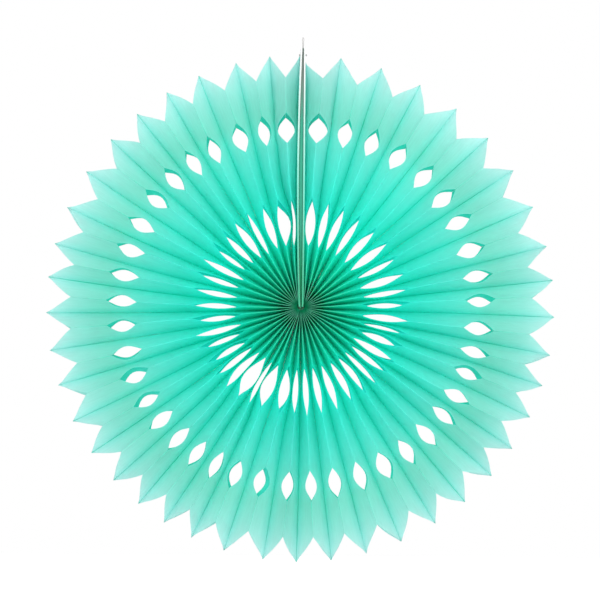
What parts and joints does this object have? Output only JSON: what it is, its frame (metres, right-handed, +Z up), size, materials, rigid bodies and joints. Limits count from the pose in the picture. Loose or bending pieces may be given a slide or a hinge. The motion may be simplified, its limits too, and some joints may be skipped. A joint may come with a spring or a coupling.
{
  "type": "paper fan rosette",
  "caption": "Round hanging decoration of die-cut tissue opened full circle from a glued hub, with leaf-shaped cut-outs, a pointed rim, two end cards at the seam and a thread loop.",
  "frame": {"origin": "on the rosette's axis at the middle of the hub's depth", "axes": "+Z up along the seam towards the hanging thread, the front faces -Y along the rosette's axis, +X to the right seen from the front"},
  "size_m": [0.3996, 0.04, 0.412],
  "materials": {
    "tissue": "matte, translucent",
    "card": "matte",
    "thread": "matte"
  },
  "bodies": {
    "root": {"tissue_fan": "tissue", "right_end_card": "card", "left_end_card": "card", "hanging_thread": "thread"}
  },
  "joints": []
}
